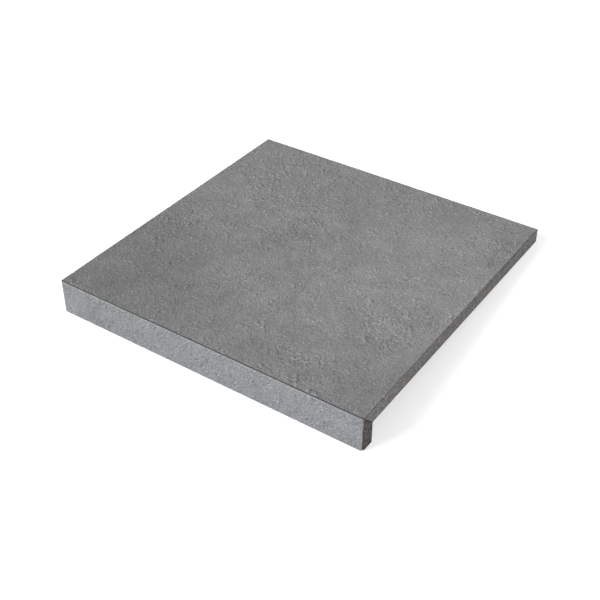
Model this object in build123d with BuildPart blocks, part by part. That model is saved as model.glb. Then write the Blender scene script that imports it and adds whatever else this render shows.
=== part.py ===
"""Porcelain edge tile: a square paving slab with a lip of the same tile mitred and glued under its front."""
import math
import os

from build123d import *

os.makedirs("parts", exist_ok=True)

# Driving dimensions in millimetres. X runs along the front edge, Y from front to back, Z up.
TILE_WIDTH = 450.0
TILE_DEPTH = 450.0
TILE_THICKNESS = 20.0
LIP_HEIGHT = 50.0

# Small bevel that the factory grinds round every face edge of the tile.
EDGE_BEVEL = 0.8

# The mitre: the adhesive is as thick as the joint, and grinding the glued arris takes a sliver of each face.
JOINT_WIDTH = 1.2
JOINT_STEP = JOINT_WIDTH / math.sqrt(2)
ARRIS_SLIVER = 0.15
ARRIS_BEVEL = JOINT_STEP + ARRIS_SLIVER

# Waffle pressed into the back of the tile: square cells between ribs.
CELL_SIDE = 20.0
RIB_WIDTH = 4.0
CELL_DEPTH = 0.8
CELL_PITCH = CELL_SIDE + RIB_WIDTH

# Where the faces lie. The lip's foot stands on Z = 0 and the plan is centred on the origin.
FRONT_Y = -TILE_DEPTH / 2
BACK_Y = TILE_DEPTH / 2
UNDERSIDE_Z = LIP_HEIGHT - TILE_THICKNESS
LIP_BACK_Y = FRONT_Y + TILE_THICKNESS
BED_FRONT_Y = LIP_BACK_Y + JOINT_STEP
BED_DEPTH = BACK_Y - BED_FRONT_Y
LIP_CLEAR_HEIGHT = UNDERSIDE_Z - JOINT_STEP

# The mitre runs from the front arris down to the inner corner. The saw cuts lie half a joint to either side.
UP_BACK = Vector(0, 1, 1).normalized()
DOWN_BACK = Vector(0, 1, -1).normalized()
FRONT_ARRIS = Vector(0, FRONT_Y, LIP_HEIGHT)
slab_saw_cut = Plane(origin=FRONT_ARRIS + UP_BACK * (JOINT_WIDTH / 2), x_dir=(1, 0, 0), z_dir=UP_BACK)
lip_saw_cut = Plane(origin=FRONT_ARRIS - UP_BACK * (JOINT_WIDTH / 2), x_dir=(1, 0, 0), z_dir=UP_BACK)

# The ground arris is square to the mitre, so slab, adhesive and lip all end on this one plane.
ARRIS_INSET = ARRIS_BEVEL / math.sqrt(2)
ground_arris = Plane(origin=FRONT_ARRIS + DOWN_BACK * ARRIS_INSET, x_dir=(1, 0, 0), z_dir=DOWN_BACK)


def cells_across(clear_length):
    """How many pressed cells fit, with a rib on either side of each."""
    return int((clear_length - RIB_WIDTH) // CELL_PITCH)


columns = cells_across(TILE_WIDTH)
slab_rows = cells_across(BED_DEPTH)
lip_rows = cells_across(LIP_CLEAR_HEIGHT)

# The slab: bevelled along the sides and back of its face, sawn along the front, pressed with cells below.
slab_base = Plane(origin=(0, 0, UNDERSIDE_Z))
bed_plane = Plane(origin=(0, BED_FRONT_Y + BED_DEPTH / 2, UNDERSIDE_Z), x_dir=(1, 0, 0), z_dir=(0, 0, -1))
with BuildPart() as tile_slab:
    with BuildSketch(slab_base):
        Rectangle(TILE_WIDTH, TILE_DEPTH)
    extrude(amount=TILE_THICKNESS)
    top_edges = tile_slab.faces().sort_by(Axis.Z)[-1].edges()
    chamfer(top_edges.sort_by(Axis.Y)[1:], length=EDGE_BEVEL)
    split(bisect_by=slab_saw_cut, keep=Keep.TOP)
    split(bisect_by=ground_arris, keep=Keep.TOP)
    if columns > 0 and slab_rows > 0:
        with BuildSketch(bed_plane):
            with GridLocations(CELL_PITCH, CELL_PITCH, columns, slab_rows):
                Rectangle(CELL_SIDE, CELL_SIDE)
        extrude(amount=-CELL_DEPTH, mode=Mode.SUBTRACT)
tile_slab.part.label = "tile_slab"
export_step(tile_slab.part, "parts/tile_slab.step")

# The lip: a strip of the same tile stood on edge, its face to the front and its pressed back behind.
lip_face = Plane(origin=(0, FRONT_Y, LIP_HEIGHT / 2), x_dir=(1, 0, 0), z_dir=(0, -1, 0))
lip_back = Plane(origin=(0, LIP_BACK_Y, LIP_CLEAR_HEIGHT / 2), x_dir=(-1, 0, 0), z_dir=(0, 1, 0))
with BuildPart() as front_lip:
    with BuildSketch(lip_face):
        Rectangle(TILE_WIDTH, LIP_HEIGHT)
    extrude(amount=-TILE_THICKNESS)
    face_edges = front_lip.faces().sort_by(Axis.Y)[0].edges()
    chamfer(face_edges.sort_by(Axis.Z)[:-1], length=EDGE_BEVEL)
    split(bisect_by=lip_saw_cut, keep=Keep.BOTTOM)
    split(bisect_by=ground_arris, keep=Keep.TOP)
    if columns > 0 and lip_rows > 0:
        with BuildSketch(lip_back):
            with GridLocations(CELL_PITCH, CELL_PITCH, columns, lip_rows):
                Rectangle(CELL_SIDE, CELL_SIDE)
        extrude(amount=-CELL_DEPTH, mode=Mode.SUBTRACT)
front_lip.part.label = "front_lip"
export_step(front_lip.part, "parts/front_lip.step")

# The adhesive: a flat strip that fills the mitre from the ground arris to the inner corner.
JOINT_END = TILE_THICKNESS * math.sqrt(2) + JOINT_WIDTH / 2
JOINT_DEPTH = JOINT_END - ARRIS_INSET
joint_centre = FRONT_ARRIS + DOWN_BACK * (ARRIS_INSET + JOINT_DEPTH / 2)
joint_plane = Plane(origin=joint_centre, x_dir=(1, 0, 0), z_dir=UP_BACK)
with BuildPart() as mitre_adhesive:
    with BuildSketch(joint_plane):
        Rectangle(TILE_WIDTH, JOINT_DEPTH)
    extrude(amount=JOINT_WIDTH / 2, both=True)
    arris_face = mitre_adhesive.faces().sort_by(Axis((0, 0, 0), (0, -1, 1)))[-1]
    chamfer(arris_face.edges().filter_by(Axis.X, reverse=True), length=EDGE_BEVEL)
mitre_adhesive.part.label = "mitre_adhesive"
export_step(mitre_adhesive.part, "parts/mitre_adhesive.step")
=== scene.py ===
# %% [markdown]
# An edge tile is a square of concrete-look porcelain with a lip of the same tile glued under its front. Its
# sizes could be typed in again here, but then the two models could drift apart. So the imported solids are
# loaded first, and their boxes tell how large the tile is and where its faces lie. Everything below is in
# metres: X runs along the front edge, Y from front to back and Z up.

# %% Load the frame and read the tile's sizes
import math

import bmesh
import bpy
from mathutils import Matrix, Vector, noise


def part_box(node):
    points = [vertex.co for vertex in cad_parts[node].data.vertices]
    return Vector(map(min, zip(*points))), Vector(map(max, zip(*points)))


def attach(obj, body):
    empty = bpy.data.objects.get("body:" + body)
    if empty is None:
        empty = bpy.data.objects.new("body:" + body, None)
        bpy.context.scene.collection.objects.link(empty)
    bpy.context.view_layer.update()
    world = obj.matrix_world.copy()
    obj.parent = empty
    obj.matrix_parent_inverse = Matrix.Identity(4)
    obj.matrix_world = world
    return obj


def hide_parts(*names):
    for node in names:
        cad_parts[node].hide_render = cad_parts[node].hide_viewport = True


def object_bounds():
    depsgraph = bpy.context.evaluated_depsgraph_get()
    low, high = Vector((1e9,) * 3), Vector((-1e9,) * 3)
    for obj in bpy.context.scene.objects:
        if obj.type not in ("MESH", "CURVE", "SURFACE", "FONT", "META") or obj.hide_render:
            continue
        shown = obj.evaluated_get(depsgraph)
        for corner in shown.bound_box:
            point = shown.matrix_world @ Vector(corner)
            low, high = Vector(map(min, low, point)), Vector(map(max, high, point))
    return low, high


MM = 0.001
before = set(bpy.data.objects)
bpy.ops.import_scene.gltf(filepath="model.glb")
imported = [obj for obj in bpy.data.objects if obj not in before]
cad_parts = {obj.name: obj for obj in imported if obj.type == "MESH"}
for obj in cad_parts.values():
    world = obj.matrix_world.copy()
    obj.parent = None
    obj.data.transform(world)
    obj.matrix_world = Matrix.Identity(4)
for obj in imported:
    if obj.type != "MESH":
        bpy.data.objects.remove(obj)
cad_low, cad_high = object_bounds()
slab_low, slab_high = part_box("tile_slab")
left_x, front_y, foot_z = cad_low
right_x, back_y, top_z = cad_high
bed_z = slab_low.z
thickness = slab_high.z - slab_low.z
print("tile", (cad_high - cad_low) / MM, "mm, thickness", thickness / MM)

# %% [markdown]
# The slab and the lip are both sawn from a pressed tile, so both start as a box that is shaped in edit
# mode. A mesh could also be written out point by point, but this is what a hand does in the viewport: add a
# box, then pick edges or faces by where they are. Everything is deselected first, because an operator acts
# on all that is selected and the loaded solids come in selected.

# %% Add a box and pick parts of it
X = Vector((1, 0, 0))
Y = Vector((0, 1, 0))
Z = Vector((0, 0, 1))
NEAR = 0.01 * MM


def add_box(name, low, high):
    """Add a cube stretched between two corners, with its object at the origin, and open it in edit mode."""
    bpy.ops.object.select_all(action="DESELECT")
    bpy.ops.mesh.primitive_cube_add(size=1, location=(low + high) / 2)
    piece = bpy.context.object
    piece.name = name
    piece.data.name = name
    piece.scale = high - low
    bpy.ops.object.transform_apply(location=True, rotation=True, scale=True)
    bpy.ops.object.mode_set(mode="EDIT")
    return piece


def pick(piece, kind, test):
    """In edit mode, select the verts, edges or faces that pass a test, and nothing else."""
    bpy.ops.mesh.select_mode(type={"verts": "VERT", "edges": "EDGE", "faces": "FACE"}[kind])
    bpy.ops.mesh.select_all(action="DESELECT")
    mesh = bmesh.from_edit_mesh(piece.data)
    count = 0
    for element in getattr(mesh, kind):
        if test(element):
            element.select_set(True)
            count += 1
    bmesh.update_edit_mesh(piece.data)
    return count


# %% [markdown]
# A tile is cut with a wet saw. A boolean with a large box would do that too, but the bisect tool needs only
# the plane of the blade, and it closes the cut by itself. The same tool scores a line without cutting off.
# Which way a face looks or an edge runs is told by a cosine: 1 is straight along the axis.

# %% Saw and score
FACING = 0.99
PARALLEL = 0.9999


def saw(point, waste_side):
    """Cut the whole piece with a plane, throw the waste side away and close the cut."""
    bpy.ops.mesh.select_all(action="SELECT")
    bpy.ops.mesh.bisect(plane_co=point, plane_no=waste_side, use_fill=True, clear_outer=True)


def score(piece, normal, point, across):
    """Cut a line across the faces that look one way, without taking anything off."""
    pick(piece, "faces", lambda face: face.normal.dot(normal) > FACING)
    bpy.ops.mesh.bisect(plane_co=point, plane_no=across)


def runs_along(edge, axis):
    """Whether an edge is parallel to an axis."""
    line = edge.verts[1].co - edge.verts[0].co
    return abs(line.normalized().dot(axis)) > PARALLEL


def middle(edge):
    """The point halfway along an edge."""
    return (edge.verts[0].co + edge.verts[1].co) / 2


def all_pass(element, test):
    """Whether every point of an edge or a face passes a test."""
    return all(test(vert.co) for vert in element.verts)


# %% [markdown]
# The mitre is the heart of this tile: both pieces are sawn at 45 degrees, glued, and the glued arris is
# then ground flat. The two saw cuts lie half a joint to either side of the diagonal, and the ground arris
# is square to it. Each piece could have its own numbers, but the same three planes shape both, so they are
# worked out once and can't disagree. A box shows neither joint nor bevels, so those few sizes repeat the
# values of the solids.

# %% Where the saw cuts go
joint_width = 1.2 * MM
edge_bevel = 0.8 * MM
arris_sliver = 0.15 * MM
joint_step = joint_width / math.sqrt(2)
arris_bevel = joint_step + arris_sliver
up_back = Vector((0, 1, 1)).normalized()
up_front = Vector((0, -1, 1)).normalized()
front_arris = Vector((0, front_y, top_z))
slab_cut = front_arris + up_back * joint_width / 2
lip_cut = front_arris - up_back * joint_width / 2
ground_arris = front_arris - up_front * arris_bevel / math.sqrt(2)
print("joint", joint_width / MM, "mm wide, arris ground back", round(arris_bevel / MM, 2), "mm")

# %% [markdown]
# Start the slab: a box at its own place, with the small factory bevel along three edges of its face, sawn
# along the fourth. A bevel modifier would need weights to leave the other edges alone, so the bevel
# operator is used instead: it takes only the edges that are picked, here by their height and place.

# %% Saw and bevel the slab
slab = add_box("stone_slab", Vector((left_x, front_y, bed_z)), Vector((right_x, back_y, top_z)))
pick(slab, "edges", lambda edge: middle(edge).z > top_z - NEAR and middle(edge).y > front_y + NEAR)
bpy.ops.mesh.bevel(offset=edge_bevel, segments=1, affect="EDGES")
saw(slab_cut, -up_back)
saw(ground_arris, up_front)
print("slab after sawing:", len(bmesh.from_edit_mesh(slab.data).faces), "faces")

# %% [markdown]
# The back of a pressed tile has a waffle of shallow cells, which keys the bedding. Hundreds of boxes could
# be cut away with a boolean, but that is slow and leaves long thin faces. Here the panel is divided into
# squares by subdividing opposite edges, and two insets finish every square at once: one leaves the ribs,
# and one with depth sinks the floor with slightly sloping sides, as a press needs to let go.

# %% Press the waffle into a back face
cell_side = 20 * MM
rib_width = 4 * MM
cell_depth = 0.8 * MM
cell_draft = 0.5 * MM
cell_pitch = cell_side + rib_width


def cells_across(clear_length):
    """How many pressed cells fit, with a rib on either side of each."""
    return int((clear_length - rib_width + NEAR) // cell_pitch)


def press_cells(piece, normal, centre, across, columns, up, rows):
    """Divide the middle of a back face into squares and sink a cell into each."""
    half_wide = across * columns * cell_pitch / 2
    half_high = up * rows * cell_pitch / 2
    for edge_point, direction in ((half_wide, across), (half_high, up)):
        score(piece, normal, centre + edge_point, direction)
        score(piece, normal, centre - edge_point, direction)

    def inside(point):
        offset = point - centre
        return (
            abs(offset.dot(normal)) < NEAR
            and abs(offset.dot(across)) < half_wide.length + NEAR
            and abs(offset.dot(up)) < half_high.length + NEAR
        )

    for direction, count in ((across, columns), (up, rows)):
        pick(piece, "edges", lambda edge: runs_along(edge, direction) and all_pass(edge, inside))
        if count > 1:
            bpy.ops.mesh.subdivide(number_cuts=count - 1)
    cells = pick(piece, "faces", lambda face: all_pass(face, inside))
    bpy.ops.mesh.inset(thickness=rib_width / 2, use_individual=True)
    bpy.ops.mesh.inset(thickness=cell_draft, depth=-cell_depth, use_individual=True)
    return cells


columns = cells_across(right_x - left_x)
bed_front = front_y + thickness + joint_step
bed_centre = Vector((0, (bed_front + back_y) / 2, bed_z))
cells = press_cells(slab, -Z, bed_centre, X, columns, Y, cells_across(back_y - bed_front))
print("slab back:", cells, "cells")

# %% [markdown]
# The face needs points close enough together to carry its relief. A subdivision modifier would divide the
# sawn sides and the waffle too. Subdividing opposite edges by the same number turns only the face and its
# bevels into one even grid, and the rest stays plain. One pass makes 100 cuts at most, so it is done in
# passes.

# %% Divide the walking face into a fine grid
face_parts = (100, 3)


def divide(piece, axis, test, parts):
    """Divide the edges that run along an axis and pass a test, in several passes."""
    for count in parts:
        pick(piece, "edges", lambda edge: runs_along(edge, axis) and all_pass(edge, test))
        bpy.ops.mesh.subdivide(number_cuts=count - 1)


def near_top(point):
    """Whether a point is on the walking face or its bevels."""
    return point.z > top_z - edge_bevel - NEAR


for axis in (X, Y):
    divide(slab, axis, near_top, face_parts)
bpy.ops.object.mode_set(mode="OBJECT")
grid_step = (right_x - left_x) / math.prod(face_parts)
print("slab:", len(slab.data.polygons), "faces, one every", round(grid_step / MM, 2), "mm")

# %% [markdown]
# Saw the lip the same way: a strip of tile on edge, bevelled along the sides and foot of its face, mitred
# at the top, with one row of the same cells pressed into its back. A copy of the slab could be cut down to
# it, but a fresh box takes the same few steps and carries nothing over.

# %% Saw, bevel and press the lip
lip = add_box("stone_lip", Vector((left_x, front_y, foot_z)), Vector((right_x, front_y + thickness, top_z)))
pick(lip, "edges", lambda edge: middle(edge).y < front_y + NEAR and middle(edge).z < top_z - NEAR)
bpy.ops.mesh.bevel(offset=edge_bevel, segments=1, affect="EDGES")
saw(lip_cut, up_back)
saw(ground_arris, up_front)
lip_clear = bed_z - joint_step - foot_z
lip_centre = Vector((0, front_y + thickness, foot_z + lip_clear / 2))
cells = press_cells(lip, Y, lip_centre, X, columns, Z, cells_across(lip_clear))
print("lip back:", cells, "cells")

# %% [markdown]
# The lip was cut from the same tile, so its face gets a grid of the same step, and the grain comes out the
# same size on both. As many parts as on the slab would make its squares long and thin, so its short side
# has its own number of them.

# %% Divide the lip's face into a fine grid
lip_parts = (11, 3)


def near_front(point):
    """Whether a point is on the lip's face or its bevels."""
    return point.y < front_y + edge_bevel + NEAR


for axis, parts in ((X, face_parts), (Z, lip_parts)):
    divide(lip, axis, near_front, parts)
print("lip face divided:", len(bmesh.from_edit_mesh(lip.data).faces), "faces")

# %% [markdown]
# The lower right corner of the lip was knocked and is a little blunt. The saw takes it off once the face is
# divided, so that the small cut can't upset the even grid. Points could be pushed in by hand instead, but a
# knock breaks off a flat flake, and a flat cut looks like that.

# %% Blunt the knocked corner
knock_depth = 2.0 * MM
knock_way = Vector((1, -1, -1)).normalized()
sharp_corner = Vector((right_x, front_y + edge_bevel, foot_z))
saw(sharp_corner - knock_way * knock_depth, knock_way)
bpy.ops.object.mode_set(mode="OBJECT")
print("lip:", len(lip.data.polygons), "faces with one corner knocked off")

# %% [markdown]
# The concrete that the face copies was drawn off with a board on the diagonal, so all its patterns are a
# little longer that way. Each pattern could be turned by itself, but one empty keeps them in step: a
# pattern that takes its coordinates from the empty is turned and stretched with it. It goes once the relief
# is made.

# %% The way the concrete was drawn
drawn_turn = math.radians(34)
drawn_stretch = Vector((1, 1.25, 1))
bpy.ops.object.select_all(action="DESELECT")
bpy.ops.object.empty_add(type="ARROWS", radius=0.1, rotation=(0, 0, drawn_turn), scale=drawn_stretch)
board = bpy.context.object
board.name = "drawing_board"
bpy.context.view_layer.update()
to_board = board.matrix_world.inverted()
print("patterns turned", round(math.degrees(drawn_turn)), "degrees and stretched", board.scale.y)

# %% [markdown]
# The face of the tile is pressed by a plate that copies rough concrete: low swells, a finer roughness,
# raised grains and a few pits. It could be sculpted by hand, but displace modifiers driven by cloud
# patterns give the same face every time, and each kind of relief stays one line to change. They move only
# the points of a vertex group, so the sawn sides stay flat.

# %% Helpers for relief
def cloud(name, size, depth, low=0.0, high=1.0):
    """A cloud pattern in metres, with everything below low flat and everything above high full."""
    pattern = bpy.data.textures.new(name, type="CLOUDS")
    pattern.noise_scale = size
    pattern.noise_depth = depth
    pattern.noise_type = "SOFT_NOISE"
    if (low, high) != (0.0, 1.0):
        pattern.use_color_ramp = True
        flat, full = pattern.color_ramp.elements
        flat.position = low
        flat.color = (0, 0, 0, 1)
        full.position = high
        full.color = (1, 1, 1, 1)
    return pattern


def raise_relief(piece, group, pattern, height, mid_level):
    """Push a group's points out or in by a pattern, and apply it."""
    relief = piece.modifiers.new(pattern.name, "DISPLACE")
    relief.texture = pattern
    relief.texture_coords = "OBJECT"
    relief.texture_coords_object = board
    relief.vertex_group = group
    relief.strength = height
    relief.mid_level = mid_level
    bpy.ops.object.modifier_apply(modifier=relief.name)


def group_points(piece, name, test):
    """Make a vertex group of the points that pass a test."""
    bpy.ops.object.mode_set(mode="EDIT")
    count = pick(piece, "verts", lambda vert: test(vert.co))
    piece.vertex_groups.new(name=name)
    bpy.ops.object.vertex_group_assign()
    bpy.ops.object.mode_set(mode="OBJECT")
    return count


# %% [markdown]
# Such a face isn't equally rough all over: the grains stand in clusters, close together in some zones and
# far apart between them. Weights on the points say where. They could be painted with a brush, but code
# paints them the same way every time. Noise the size of a cluster is lifted towards the middle of each
# zone, and what stays below nought is smooth. The finish reads the same weights as an attribute. Each zone
# of the walking face has a centre and a reach. The lip is too narrow for zones and is rough all over.

# %% Paint the rough zones
TOP_ZONES = (
    (Vector((-0.125, 0.140, top_z)), 0.17),
    (Vector((-0.050, 0.050, top_z)), 0.09),
    (Vector((0.040, 0.215, top_z)), 0.11),
    (Vector((-0.215, -0.050, top_z)), 0.12),
    (Vector((0.165, -0.070, top_z)), 0.08),
    (Vector((0.120, -0.210, top_z)), 0.08),
    (Vector((0.205, 0.165, top_z)), 0.08),
)
zone_lift = 0.85
cluster_size = 16 * MM


def smooth_step(share):
    """Ease a share in and out, and keep it between 0 and 1."""
    share = min(max(share, 0.0), 1.0)
    return share * share * (3.0 - 2.0 * share)


def paint_rough(piece, on_face, zones, calm, contrast):
    """Paint how rough each point of a face is, from 0 to 1, in clusters that are denser in the zones."""
    group = piece.vertex_groups.new(name="rough")
    notes = piece.data.attributes.new("coarse", "FLOAT", "POINT").data
    for point, note in zip(piece.data.vertices, notes):
        if on_face(point.co):
            cluster = noise.noise(to_board @ point.co / cluster_size) * contrast
            nearness = max((1.0 - (point.co - centre).length / reach for centre, reach in zones), default=0.0)
            lift = zone_lift * smooth_step(nearness)
            note.value = min(max(cluster + calm + lift, 0.0), 1.0)
            group.add([point.index], note.value, "REPLACE")


# %% [markdown]
# The relief stops just short of the arrises, so that they stay straight, and the arrises have their own
# group, which gets small chips instead. Points could be circled by hand, but on so fine a grid it is surer
# to tell them apart by where they lie.

# %% Which points carry relief and which are chipped
rim = 0.2 * MM


def beside_ends(point):
    """Whether a point is on a bevel at the left or right end."""
    return abs(point.x) > right_x - edge_bevel - rim


def on_slab_face(point):
    """Whether a point is inside the walking face."""
    inside = front_y + arris_bevel + rim < point.y < back_y - edge_bevel - rim
    return inside and point.z > top_z - NEAR and not beside_ends(point)


def on_slab_arris(point):
    """Whether a point is on the bevels round the walking face, away from the joint."""
    beside = beside_ends(point) or point.y > back_y - edge_bevel - rim
    return beside and near_top(point) and point.y > front_y + arris_bevel + rim


def on_lip_face(point):
    """Whether a point is inside the lip's face."""
    inside = foot_z + edge_bevel + rim < point.z < top_z - arris_bevel - rim
    return inside and point.y < front_y + NEAR and not beside_ends(point)


def on_lip_arris(point):
    """Whether a point is on the bevels round the lip's face, away from the joint."""
    beside = beside_ends(point) or point.z < foot_z + edge_bevel + rim
    return beside and near_front(point) and point.z < top_z - arris_bevel - rim


# %% [markdown]
# Now the relief is raised, one pattern after another. A row names the group that it moves, the pattern, how
# far it pushes and which level of the pattern stays put. At the end the height of each point is noted on
# the mesh, because the finish paints the high points paler, as wear and painted highlight, and the hollows
# darker, as dust and painted shade.

# %% Raise the relief on the two faces
RELIEF = (
    ("face", cloud("swells", size=40 * MM, depth=2), 0.40 * MM, 0.5),
    ("face", cloud("roughness", size=7 * MM, depth=3), 0.60 * MM, 0.5),
    ("rough", cloud("raised_grains", size=5 * MM, depth=1, low=0.56, high=0.72), 1.3 * MM, 0.0),
    ("rough", cloud("pits", size=7 * MM, depth=1, low=0.64, high=0.76), -0.5 * MM, 0.0),
    ("arris", cloud("chips", size=5 * MM, depth=2, low=0.55, high=0.80), -0.45 * MM, 0.0),
)
smooth_angle = math.radians(30)


def finish_face(piece, outward, on_face, on_arris, zones, calm, contrast):
    """Put the relief on a face, chip its arrises, and note how high each point of it stands."""
    bpy.ops.object.select_all(action="DESELECT")
    piece.select_set(True)
    bpy.context.view_layer.objects.active = piece
    level = max(point.co.dot(outward) for point in piece.data.vertices)
    count = group_points(piece, "face", on_face)
    chipped = group_points(piece, "arris", on_arris)
    paint_rough(piece, on_face, zones, calm, contrast)
    for relief in RELIEF:
        raise_relief(piece, *relief)
    bpy.ops.object.shade_smooth_by_angle(angle=smooth_angle)
    notes = piece.data.attributes.new("relief", "FLOAT", "POINT").data
    for point, note in zip(piece.data.vertices, notes):
        note.value = (point.co.dot(outward) - level) / MM
    print(piece.name, "relief on", count, "points, chips on", chipped)


finish_face(slab, Z, on_slab_face, on_slab_arris, TOP_ZONES, calm=0.06, contrast=1.7)
finish_face(lip, -Y, on_lip_face, on_lip_arris, (), calm=0.40, contrast=0.9)
bpy.data.objects.remove(board)

# %% [markdown]
# Every finish is built from nodes on Object coordinates, so every pattern has its true size in metres and
# needs no unwrapping. A painted picture could be wrapped round the tile instead, but it would blur in a
# close-up. The first helper adds a node, fills its sockets and links what is passed as a socket, and the
# others make a pattern and stretch it.

# %% Add a node or a pattern
def add_node(tree, kind, sockets, **settings):
    """Add a shader node, set its options, and fill or link its sockets."""
    node = tree.nodes.new(kind)
    for option, value in settings.items():
        setattr(node, option, value)
    for socket, value in sockets.items():
        if isinstance(value, bpy.types.NodeSocket):
            tree.links.new(value, node.inputs[socket])
        else:
            node.inputs[socket].default_value = value
    return node


def blotches(tree, place, size, detail, roughness=0.5):
    """Noise with blotches of about a size in metres, from 0 to 1."""
    sockets = {"Vector": place, "Scale": 1 / size, "Detail": detail, "Roughness": roughness}
    return add_node(tree, "ShaderNodeTexNoise", sockets).outputs[0]


def remap(tree, value, low, high, to_low, to_high):
    """Stretch a value from one range to another, and clamp it there."""
    sockets = {"Value": value, "From Min": low, "From Max": high, "To Min": to_low, "To Max": to_high}
    return add_node(tree, "ShaderNodeMapRange", sockets).outputs[0]


# %% [markdown]
# Values, colours and places are then put together. Each has its own kind of node, so each has its own
# helper. A Mix node has sockets of the same name for values and colours, so those for colours are taken by
# number.

# %% Put values, colours and places together
MIX_SHARE = 0
MIX_FIRST = 6
MIX_SECOND = 7
MIX_RESULT = 2


def combine(tree, operation, first, second):
    """One sum, difference or product of two values."""
    return add_node(tree, "ShaderNodeMath", {0: first, 1: second}, operation=operation).outputs[0]


def tint(tree, share, first, second, blend_type="MIX"):
    """Mix two colours by a share from 0 to 1."""
    sockets = {MIX_SHARE: share, MIX_FIRST: first, MIX_SECOND: second}
    node = add_node(tree, "ShaderNodeMix", sockets, data_type="RGBA", blend_type=blend_type)
    return node.outputs[MIX_RESULT]


def shade(tree, colour, factor):
    """Darken or lighten a colour by a factor."""
    return add_node(tree, "ShaderNodeVectorMath", {0: colour, "Scale": factor}, operation="SCALE").outputs[0]


def shift(tree, operation, first, second):
    """The sum, difference, distance or dot product of two places."""
    node = add_node(tree, "ShaderNodeVectorMath", {0: first, 1: second}, operation=operation)
    return node.outputs["Value" if operation in ("DISTANCE", "DOT_PRODUCT") else "Vector"]


# %% [markdown]
# A finish has to know where on the tile it is. It could be given a mask for each region, but a place in
# metres and the numbers that were noted on the mesh say enough, and they fit any region. These helpers
# start a finish and read them.

# %% Start a finish and read the piece
def start_finish(name):
    """A new node material, its tree, its shader and the place on the piece in metres."""
    material = bpy.data.materials.new(name)
    material.use_nodes = True
    tree = material.node_tree
    shader = tree.nodes["Principled BSDF"]
    place = tree.nodes.new("ShaderNodeTexCoord").outputs["Object"]
    return material, tree, shader, place


def noted(tree, name):
    """A number that was noted on the points of the mesh."""
    return add_node(tree, "ShaderNodeAttribute", {}, attribute_name=name).outputs["Fac"]


def behind(tree, place, start, inward):
    """How far a place lies behind a plane, in metres."""
    return shift(tree, "DOT_PRODUCT", shift(tree, "SUBTRACT", place, start), inward)


# %% [markdown]
# A finish is made the way a printer lays inks: a ground colour first, then layers. Colours could be mixed
# over each other, but a factor that swings about 1 and is multiplied on hardly moves the mean colour, so
# layers can be added one by one. These helpers make such factors and lay them on the shader.

# %% Make layers and lay them on
def share_of(tree, value, low, high):
    """How far a value is from low to high, from 0 to 1."""
    return remap(tree, value, low, high, 0.0, 1.0)


def between(tree, share, low, high):
    """A value between low and high, by a share from 0 to 1."""
    return remap(tree, share, 0.0, 1.0, low, high)


def mottled(tree, pattern, spread, depth):
    """A factor that swings about 1 by a depth, as a pattern swings about 0.5 by a spread."""
    return remap(tree, pattern, 0.5 - spread, 0.5 + spread, 1.0 - depth, 1.0 + depth)


def centred(tree, pattern):
    """A pattern from 0 to 1, moved so that it swings about nought."""
    return combine(tree, "SUBTRACT", pattern, 0.5)


def lay_colour(tree, shader, colour, layers):
    """Multiply the layers onto a colour and give it to the shader."""
    for layer in layers:
        colour = shade(tree, colour, layer)
    tree.links.new(colour, shader.inputs["Base Color"])


def set_matt(shader, roughness, shine):
    """Give the shader one roughness and one strength of shine all over."""
    shader.inputs["Roughness"].default_value = roughness
    shader.inputs["Specular IOR Level"].default_value = shine


def bump(tree, shader, height, distance):
    """Turn a height pattern into fine roughness on the shader's normal."""
    node = add_node(tree, "ShaderNodeBump", {"Height": height, "Distance": distance})
    tree.links.new(node.outputs[0], shader.inputs["Normal"])
    print("finish", tree.id_data.name, "with", len(tree.nodes), "nodes")


# %% [markdown]
# The printed face is what the eye sees first: a mid grey that drifts between cooler and warmer clouds, with
# a sandy grain that is stronger in some patches than others. A few broad clouds have a place of their own,
# and noise alone would spread them evenly: on the walking face most of them are painted shade and light,
# darker to the front and left and lighter to the right. Pores and flecks are scattered specks. Along the
# arrises the print is rubbed pale, with painted highlight, and right at the joint grime is caught, with
# painted shade.

# %% Layers of the concrete-look face
swirl_size = 60 * MM
swirl_reach = 120 * MM
speck_core = 0.4
edge_band_core = 0.4


def placed_clouds_and_shade(tree, place, spots):
    """Soft clouds, each at its own spot with its own reach and strength: print clouds and painted shade and
    light.
    """
    sockets = {"Vector": place, "Scale": 1 / swirl_size, "Detail": 3.0}
    swirls = add_node(tree, "ShaderNodeTexNoise", sockets).outputs["Color"]
    sway = shift(tree, "SUBTRACT", swirls, (0.5, 0.5, 0.5))
    blown = shift(tree, "ADD", place, shade(tree, sway, swirl_reach))
    factor = 1.0
    for spot, reach, strength in spots:
        gap = shift(tree, "DISTANCE", blown, spot)
        sockets = {"Value": gap, "From Max": reach, "To Min": 1.0 + strength, "To Max": 1.0}
        soft = add_node(tree, "ShaderNodeMapRange", sockets, interpolation_type="SMOOTHERSTEP").outputs[0]
        factor = combine(tree, "MULTIPLY", soft, factor)
    return factor


def specks(tree, place, spacing, radius, factor):
    """Scattered specks that take a factor, with 1 between them."""
    sockets = {"Vector": place, "Scale": 1 / spacing}
    gap = add_node(tree, "ShaderNodeTexVoronoi", sockets).outputs["Distance"]
    return remap(tree, gap, speck_core * radius / spacing, radius / spacing, factor, 1.0)


def edge_wear_and_light(tree, place, start, inward, width, change):
    """An edge line, strongest at knocks: paler is wear and painted highlight, darker is grime and painted
    shade.
    """
    beside = remap(tree, behind(tree, place, start, inward), edge_band_core * width, width, 1.0, 0.0)
    knocks = blotches(tree, place, size=6 * MM, detail=2, roughness=0.6)
    knocks = remap(tree, knocks, low=0.40, high=0.68, to_low=0.20, to_high=1.0)
    share = combine(tree, "MULTIPLY", beside, knocks)
    return combine(tree, "ADD", combine(tree, "MULTIPLY", share, change), 1.0)
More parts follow.
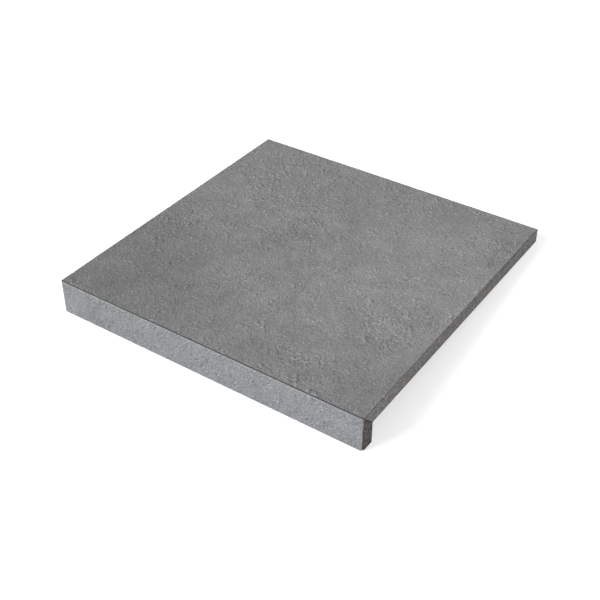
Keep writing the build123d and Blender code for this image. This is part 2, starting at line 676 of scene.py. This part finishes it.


# %% [markdown]
# Raised grains are painted paler and hollows darker, partly as wear and dust and partly as painted highlight
# and painted shade, so one layer reads the height that was noted on the mesh's points, and the sand is
# coarser where the points were painted rough. The finest roughness, under the size of the grid, is left to
# the bump. Each face could have its own tree of nodes, but both were printed alike, so one recipe makes both
# and only its settings differ.

# %% The recipe of the concrete-look face
SAND_DEPTH = 1.3
GRAIN_HEIGHT = 2.8 * MM
DRIFT_SHARE = 0.7


def stone_face(name, greys, tint_start, tint_size, spots, edges, mottle, coarseness):
    """Clouded grey print with sandy grain and painted light and shade, matt and finely rough."""
    material, tree, shader, flat_place = start_finish(name)
    stretch = {"Vector": flat_place, "Rotation": (0, 0, drawn_turn), "Scale": drawn_stretch}
    place = add_node(tree, "ShaderNodeMapping", stretch, vector_type="TEXTURE").outputs[0]

    cool, warm = greys
    sway = blotches(tree, place, size=tint_size, detail=2)
    left_sway = DRIFT_SHARE * left_x
    right_sway = DRIFT_SHARE * right_x
    sway = remap(tree, sway, low=0.3, high=0.7, to_low=left_sway, to_high=right_sway)
    drift = combine(tree, "ADD", shift(tree, "DOT_PRODUCT", flat_place, X), sway)
    colour = tint(tree, share_of(tree, drift, tint_start, right_x), warm, cool)

    broad = blotches(tree, place, size=45 * MM, detail=5, roughness=0.7)
    close = blotches(tree, place, size=12 * MM, detail=4, roughness=0.65)
    layers = [mottled(tree, broad, spread=0.2, depth=mottle), mottled(tree, close, spread=0.2, depth=0.065)]

    coarse = noted(tree, "coarse")
    patches = between(tree, coarse, low=0.60, high=1.05)
    grain = centred(tree, blotches(tree, place, size=2.2 * MM, detail=1))
    sand = combine(tree, "MULTIPLY", combine(tree, "MULTIPLY", grain, patches), SAND_DEPTH * coarseness)
    layers.append(combine(tree, "ADD", sand, 1.0))
    # Painted highlight on raised grains and painted shade in hollows, with wear and dust.
    layers.append(remap(tree, noted(tree, "relief"), low=-0.4, high=0.9, to_low=0.93, to_high=1.10))
    # Painted light: rough clusters are lightened a little to offset the shade of their bumps.
    layers.append(between(tree, coarse, low=0.985, high=1.02))
    layers.append(specks(tree, place, spacing=9 * MM, radius=1.1 * MM, factor=0.84))
    layers.append(specks(tree, shift(tree, "ADD", place, X), spacing=6 * MM, radius=1.2 * MM, factor=1.40))
    # Placed clouds, which on the walking face are painted shade and light
    layers.append(placed_clouds_and_shade(tree, flat_place, spots))
    # Edge lines: wear and painted highlight where paler, grime and painted shade where darker.
    for edge in edges:
        layers.append(edge_wear_and_light(tree, flat_place, *edge))
    lay_colour(tree, shader, colour, layers)

    dull = blotches(tree, place, size=12 * MM, detail=3)
    dull = remap(tree, dull, low=0.3, high=0.7, to_low=0.62, to_high=0.82)
    tree.links.new(dull, shader.inputs["Roughness"])
    shader.inputs["Specular IOR Level"].default_value = 0.3
    rough = centred(tree, blotches(tree, place, size=3.0 * MM, detail=3, roughness=0.65))
    bump(tree, shader, combine(tree, "MULTIPLY", rough, patches), GRAIN_HEIGHT * coarseness)
    return material


# %% [markdown]
# The walking face is a neutral grey that turns a little bluer to the right. Its placed clouds, each with a
# spot, a reach and a strength, are mostly painted shade and light: they darken the left and the front and
# lift the right. Its edges, each with a plane, a way inward, a width and a change, are rubbed a little paler,
# with painted highlight along the arrises.

# %% The walking face
TOP_GREYS = ((0.243, 0.2425, 0.2465, 1), (0.243, 0.2425, 0.242, 1))
# Painted shade and light: darker at the front and left of the walking face, lighter at the right.
TOP_SHADE_AND_LIGHT_SPOTS = (
    (Vector((-0.195, -0.175, top_z)), 0.27, -0.25),
    (Vector((-0.213, -0.017, top_z)), 0.09, -0.05),
    (Vector((-0.052, 0.035, top_z)), 0.10, -0.04),
    (Vector((0.020, -0.235, top_z)), 0.17, -0.10),
    (Vector((0.200, -0.235, top_z)), 0.17, -0.115),
    (Vector((0.175, 0.050, top_z)), 0.25, 0.12),
)
# Paler lines along the edges: wear, with painted highlight along the arrises.
TOP_EDGE_WEAR_AND_HIGHLIGHT = (
    (Vector((left_x + edge_bevel, 0, 0)), X, 2.0 * MM, 0.10),
    (Vector((right_x - edge_bevel, 0, 0)), -X, 2.0 * MM, 0.10),
    (Vector((0, back_y - edge_bevel, 0)), -Y, 2.0 * MM, 0.10),
)
top_finish = stone_face(
    "clouded_stone_face",
    greys=TOP_GREYS,
    tint_start=0.0,
    tint_size=120 * MM,
    spots=TOP_SHADE_AND_LIGHT_SPOTS,
    edges=TOP_EDGE_WEAR_AND_HIGHLIGHT,
    mottle=0.125,
    coarseness=1.0,
)

# %% [markdown]
# The lip's face is the same print, painted bluer for the cooler light that falls on it, with smaller clouds
# and a coarser grain. Its upper edge is knocked most, being ground with the joint: it is rubbed pale there,
# with painted highlight, and a thin line of grime and painted shade sits right under it.

# %% The front face
# Painted light: the greys of the walking face, turned bluer as cool light on the front.
FRONT_GREYS_WITH_COOL_LIGHT = ((0.239, 0.246, 0.259, 1), (0.229, 0.244, 0.248, 1))
FRONT_SPOTS = (
    (Vector((-0.165, front_y, 0.02)), 0.08, -0.05),
    (Vector((0.020, front_y, 0.04)), 0.09, 0.04),
    (Vector((0.160, front_y, 0.03)), 0.10, 0.03),
)
# Paler lines at the sides and the upper edge are wear and painted highlight; the dark line under the joint is
# grime and painted shade.
FRONT_EDGE_WEAR_AND_LIGHT = (
    (Vector((left_x + edge_bevel, 0, 0)), X, 2.0 * MM, 0.15),
    (Vector((right_x - edge_bevel, 0, 0)), -X, 2.0 * MM, 0.15),
    (Vector((0, 0, top_z - arris_bevel)), -Z, 3.2 * MM, 0.48),
    (Vector((0, 0, top_z - arris_bevel)), -Z, 1.2 * MM, -0.65),
)
front_finish = stone_face(
    "clouded_stone_front",
    greys=FRONT_GREYS_WITH_COOL_LIGHT,
    tint_start=left_x,
    tint_size=25 * MM,
    spots=FRONT_SPOTS,
    edges=FRONT_EDGE_WEAR_AND_LIGHT,
    mottle=0.08,
    coarseness=1.27,
)

# %% [markdown]
# Where the tile is sawn or ground, its fired body shows: a browner, coarser grey with dark and pale grains
# and faint stains of iron. The squaring wheel leaves marks across the edges, long in one direction, which
# is noise on coordinates that are turned and squeezed. Wave bands would be too even for that. Along its
# edges the body is darkened with painted shade.

# %% The recipe of the fired body
COOL_STAIN = (0.97, 1.01, 1.025, 1)
IRON_STAIN = (1.035, 0.99, 0.98, 1)
MARK_SQUEEZE = 0.35
LINE_CORE = 0.3


def edge_shade_line(tree, place, start, inward, width, darkest):
    """Painted shade: a factor that is darkest at a plane and fades a short way behind it."""
    return remap(tree, behind(tree, place, start, inward), LINE_CORE * width, width, darkest, 1.0)


def fired_body(name, pale, dark, mark_slant, mark_depth, lines):
    """Ground stoneware: speckled brown grey with wheel marks and lines of painted shade along its edges."""
    material, tree, shader, place = start_finish(name)
    grains = blotches(tree, place, size=1.8 * MM, detail=3, roughness=0.7)
    grains = share_of(tree, grains, low=0.35, high=0.65)
    iron = blotches(tree, place, size=14 * MM, detail=2)
    stain = tint(tree, share_of(tree, iron, low=0.4, high=0.6), COOL_STAIN, IRON_STAIN)
    colour = tint(tree, 1.0, tint(tree, grains, dark, pale), stain, "MULTIPLY")

    across = shift(tree, "DOT_PRODUCT", place, Vector((1, 1, mark_slant)))
    along = shift(tree, "DOT_PRODUCT", place, Vector((mark_slant, mark_slant, -1)))
    squeezed = combine(tree, "MULTIPLY", along, MARK_SQUEEZE)
    slanted = add_node(tree, "ShaderNodeCombineXYZ", {"X": across, "Y": squeezed}).outputs[0]
    marks = blotches(tree, slanted, size=3.0 * MM, detail=4, roughness=0.7)
    scratches = blotches(tree, slanted, size=1.5 * MM, detail=1)
    lumps = blotches(tree, place, size=7 * MM, detail=2)
    layers = [
        mottled(tree, marks, spread=0.15, depth=mark_depth),
        mottled(tree, scratches, spread=0.2, depth=0.28),
        mottled(tree, lumps, spread=0.15, depth=0.16),
        specks(tree, place, spacing=5 * MM, radius=1.1 * MM, factor=0.65),
    ]
    for line in lines:
        layers.append(edge_shade_line(tree, place, *line))
    lay_colour(tree, shader, colour, layers)

    set_matt(shader, roughness=0.8, shine=0.25)
    grit = blotches(tree, place, size=1.5 * MM, detail=3, roughness=0.7)
    bump(tree, shader, combine(tree, "ADD", marks, grit), 0.4 * MM)
    return material


# %% [markdown]
# The slab's edges are ground on the squaring line, with slanted marks. The lip's ends are darker and
# browner, with upright marks, because they were cut off with a saw. Each line of painted shade has a plane,
# a way inward, a width and how dark it is at the plane.

# %% The ground edges and the lip's ends
# Painted shade: under the top bevel and at the bed of the slab's sides, and at the front, back and foot of
# the lip's ends.
SIDE_SHADE_LINES = (
    (Vector((0, 0, top_z - edge_bevel)), -Z, 2.0 * MM, 0.80),
    (Vector((0, 0, bed_z)), Z, 3.0 * MM, 0.62),
)
END_SHADE_LINES = (
    (Vector((0, front_y, 0)), Y, 3.6 * MM, 0.45),
    (Vector((0, front_y + thickness, 0)), -Y, 3.0 * MM, 0.50),
    (Vector((0, 0, foot_z)), Z, 4.5 * MM, 0.30),
)
body_finish = fired_body(
    "ground_body",
    pale=(0.345, 0.334, 0.326, 1),
    dark=(0.100, 0.094, 0.090, 1),
    mark_slant=1.0,
    mark_depth=0.24,
    lines=SIDE_SHADE_LINES,
)
end_finish = fired_body(
    "ground_lip_end",
    pale=(0.191, 0.165, 0.155, 1),
    dark=(0.029, 0.025, 0.023, 1),
    mark_slant=0.0,
    mark_depth=0.50,
    lines=END_SHADE_LINES,
)

# %% [markdown]
# The pressed back is the colour of the body too, but its ribs ride on the kiln's rollers and keep some of
# the pale wash that stops them from sticking. The ribs could have a material of their own, but how deep a
# point lies behind them tells the two apart, and the wash then fades softly into the cells.

# %% The pressed back
BACK_DARK = (0.21, 0.20, 0.19, 1)
BACK_PALE = (0.29, 0.28, 0.268, 1)
KILN_WASH = (0.50, 0.49, 0.47, 1)
WASH_FULL = 0.1 * MM
WASH_GONE = 0.4 * MM


def pressed_back(name, start, inward):
    """Fired body with pale wash left in streaks on the ribs."""
    material, tree, shader, place = start_finish(name)
    mottle = blotches(tree, place, size=9 * MM, detail=4, roughness=0.6)
    colour = tint(tree, share_of(tree, mottle, low=0.3, high=0.7), BACK_DARK, BACK_PALE)
    on_rib = remap(tree, behind(tree, place, start, inward), WASH_FULL, WASH_GONE, 1.0, 0.0)
    streaks = blotches(tree, place, size=35 * MM, detail=4, roughness=0.65)
    streaks = remap(tree, streaks, low=0.42, high=0.62, to_low=0.1, to_high=0.75)
    wash = combine(tree, "MULTIPLY", on_rib, streaks)
    colour = tint(tree, wash, colour, KILN_WASH)
    lay_colour(tree, shader, colour, [specks(tree, place, spacing=6 * MM, radius=1.0 * MM, factor=0.7)])
    set_matt(shader, roughness=0.85, shine=0.2)
    bump(tree, shader, blotches(tree, place, size=2.0 * MM, detail=3, roughness=0.7), 0.5 * MM)
    return material


bed_finish = pressed_back("pressed_bed", Vector((0, 0, bed_z)), Z)
lip_back_finish = pressed_back("pressed_lip_back", Vector((0, front_y + thickness, 0)), -Y)

# %% [markdown]
# The adhesive in the mitre is a near-black epoxy, ground with the arris, with a few browner spots where the
# filler shows. A strip could be modelled for it, but its solid already has the right shape, so it only
# needs this finish.

# %% The epoxy in the joint
EPOXY_BLACK = (0.016, 0.016, 0.016, 1)
EPOXY_BROWN = (0.060, 0.050, 0.042, 1)


def joint_epoxy(name):
    """Dark ground epoxy with a faint brown mottle."""
    material, tree, shader, place = start_finish(name)
    filler = blotches(tree, place, size=5 * MM, detail=3)
    colour = tint(tree, share_of(tree, filler, low=0.45, high=0.75), EPOXY_BLACK, EPOXY_BROWN)
    lay_colour(tree, shader, colour, layers=[])
    set_matt(shader, roughness=0.6, shine=0.2)
    bump(tree, shader, blotches(tree, place, size=1 * MM, detail=2), 0.05 * MM)
    return material


epoxy_finish = joint_epoxy("ground_epoxy")

# %% [markdown]
# One large material could tell its regions apart by itself, but short ones are easier to read. So each
# piece gets a slot for every finish, and the faces are given to a slot by their place and the way they
# look. Grains tilt the faces of the relief, so the test on their direction is a loose one there. What is
# left over, the ground sides and the bevels, keeps the first finish.

# %% Which faces take which finish
NEARLY_FACING = 0.95
LOOSELY_FACING = 0.3


def give_finish(piece, finish, test):
    """Assign a finish to the faces that pass a test."""
    piece.data.materials.append(finish)
    slot_number = len(piece.data.materials) - 1
    count = 0
    for face in piece.data.polygons:
        if test(face):
            face.material_index = slot_number
            count += 1
    print(piece.name, "has", finish.name, "on", count, "faces")


def on_slab_back(face):
    """Whether a face is part of the slab's pressed back."""
    looks_aside = abs(face.normal.x) > FACING or face.normal.y > FACING
    return face.center.z < bed_z + cell_depth + NEAR and not looks_aside


def on_lip_back(face):
    """Whether a face is part of the lip's pressed back."""
    return face.center.y > front_y + thickness - cell_depth - NEAR and abs(face.normal.x) < FACING


def on_lip_end(face):
    """Whether a face is a sawn end of the lip."""
    return abs(face.normal.x) > NEARLY_FACING and not on_lip_back(face)


def in_walking_face(face):
    """Whether a face is part of the printed walking face."""
    inside = front_y + arris_bevel < face.center.y < back_y - edge_bevel
    return inside and face.normal.z > LOOSELY_FACING and abs(face.center.x) < right_x - edge_bevel


def in_front_face(face):
    """Whether a face is part of the lip's printed face."""
    inside = foot_z + edge_bevel < face.center.z < top_z - arris_bevel
    return inside and face.normal.y < -LOOSELY_FACING and abs(face.center.x) < right_x - edge_bevel


# %% [markdown]
# The order counts: the first finish goes on everything, and each later one takes over the faces that pass
# its test. Then both pieces ride on the tile's one body and stand in for their solids, and the epoxy keeps
# its own.

# %% Lay the finishes on the pieces
give_finish(slab, body_finish, lambda face: True)
give_finish(slab, bed_finish, on_slab_back)
give_finish(slab, top_finish, in_walking_face)
give_finish(lip, body_finish, lambda face: True)
give_finish(lip, lip_back_finish, on_lip_back)
give_finish(lip, end_finish, on_lip_end)
give_finish(lip, front_finish, in_front_face)
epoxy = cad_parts["mitre_adhesive"]
epoxy.data.materials.clear()
epoxy.data.materials.append(epoxy_finish)

for piece, node in ((slab, "tile_slab"), (lip, "front_lip")):
    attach(piece, "root")
    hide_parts(node)

# %% [markdown]
# Put down unheld, the tile leans back until its rear edge meets the floor, so the studio floor is laid at
# that slope, touching the heel of the lip and the rear edge. A white floor under soft light renders grey,
# so it also glows, but to the camera alone: that adds no light to the tile, and the floor keeps the tile's
# soft shadow. The glow grows with distance, so that no horizon shows.

# %% The floor
floor_size = 12.0
floor_gap = 0.05 * MM
floor_white = (0.80, 0.80, 0.80, 1)
near_glow = 0.50
far_glow = 1.0
near_radius = 0.7
far_radius = 3.0
heel = Vector((0, front_y + thickness, foot_z))
rear = Vector((0, back_y, bed_z))
slope = math.atan2(rear.z - heel.z, rear.y - heel.y)
bpy.ops.object.select_all(action="DESELECT")
bpy.ops.mesh.primitive_plane_add(size=floor_size, location=heel - Z * floor_gap, rotation=(slope, 0, 0))
floor = bpy.context.object
floor.name = "studio_floor"
floor_finish, floor_tree, floor_shader, floor_place = start_finish("white_floor")
floor_shader.inputs["Base Color"].default_value = floor_white
floor_shader.inputs["Emission Color"].default_value = (1, 1, 1, 1)
set_matt(floor_shader, roughness=1.0, shine=0.0)
seen = floor_tree.nodes.new("ShaderNodeLightPath").outputs["Is Camera Ray"]
spread = shift(floor_tree, "DISTANCE", floor_place, (0, 0, 0))
glow = remap(floor_tree, spread, near_radius, far_radius, near_glow, far_glow)
floor_glow = combine(floor_tree, "MULTIPLY", seen, glow)
floor_tree.links.new(floor_glow, floor_shader.inputs["Emission Strength"])
floor.data.materials.append(floor_finish)
print("floor slope", round(math.degrees(slope), 2), "degrees")

# %% [markdown]
# Soft studio light: a large lamp from the front left is the key, and a weaker one fills from the right. A
# lamp could be put down by its coordinates, but it is easier to place by its angle round the tile, so its
# location and turn are worked out from that. The aim is the point in the middle of the picture, and the
# lamps and the camera all look at it.

# %% The lamps
aim = Vector((0.0282, front_y + 0.1665, 0.0225))


def direction_from(azimuth, elevation):
    """The way from the tile to something at an angle in degrees round it and above it."""
    around = math.radians(azimuth)
    above = math.radians(elevation)
    return Vector((math.sin(around) * math.cos(above), -math.cos(around) * math.cos(above), math.sin(above)))


def soft_lamp(name, azimuth, elevation, distance, size, power):
    """A square soft lamp at an angle round the tile, pointing at it."""
    direction = direction_from(azimuth, elevation)
    bpy.ops.object.light_add(type="AREA", location=aim + direction * distance)
    lamp = bpy.context.object
    lamp.name = name
    lamp.data.size = size
    lamp.data.energy = power
    lamp.rotation_euler = direction.to_track_quat("Z", "Y").to_euler()
    print(name, "lamp of", power, "W at", distance, "m")


soft_lamp("key", azimuth=-35, elevation=30, distance=6.0, size=3.0, power=380)
soft_lamp("fill", azimuth=80, elevation=40, distance=6.0, size=4.8, power=78)

# %% [markdown]
# An even white world does the rest. A picture of a studio could light the tile too, but that is a file from
# outside the script. The world is white to the camera and weaker as a light, because at full strength it
# would wash the tile out.

# %% The world
world_light = 0.44
world_white = 1.05
world = bpy.data.worlds.new("studio")
bpy.context.scene.world = world
world.use_nodes = True
sky_tree = world.node_tree
sky = sky_tree.nodes["Background"]
sky.inputs["Color"].default_value = (1, 1, 1, 1)
sky_seen = sky_tree.nodes.new("ShaderNodeLightPath").outputs["Is Camera Ray"]
sky_tree.links.new(between(sky_tree, sky_seen, world_light, world_white), sky.inputs["Strength"])
print("world", world_light, "as a light and", world_white, "to the camera")

# %% [markdown]
# The camera stands where the photograph was taken: to the right of the front and well above it, with a lens
# a little longer than normal. It could be moved about by eye, but its angle, distance and lens come from a
# fit to the tile's corners, which is closer.

# %% The camera
camera_azimuth = 34.35
camera_elevation = 37.17
camera_distance = 1.349
sensor_width = 36.0
focal_pixels = 1055.5
image_pixels = 600.0
away = direction_from(camera_azimuth, camera_elevation)
bpy.ops.object.camera_add(location=aim + away * camera_distance)
camera = bpy.context.object
camera.rotation_euler = away.to_track_quat("Z", "Y").to_euler()
camera.data.sensor_width = sensor_width
camera.data.lens = focal_pixels * sensor_width / image_pixels
bpy.context.scene.camera = camera
bpy.context.scene.view_settings.view_transform = "Standard"
print("camera", camera_distance, "m away, lens", round(camera.data.lens, 1), "mm")
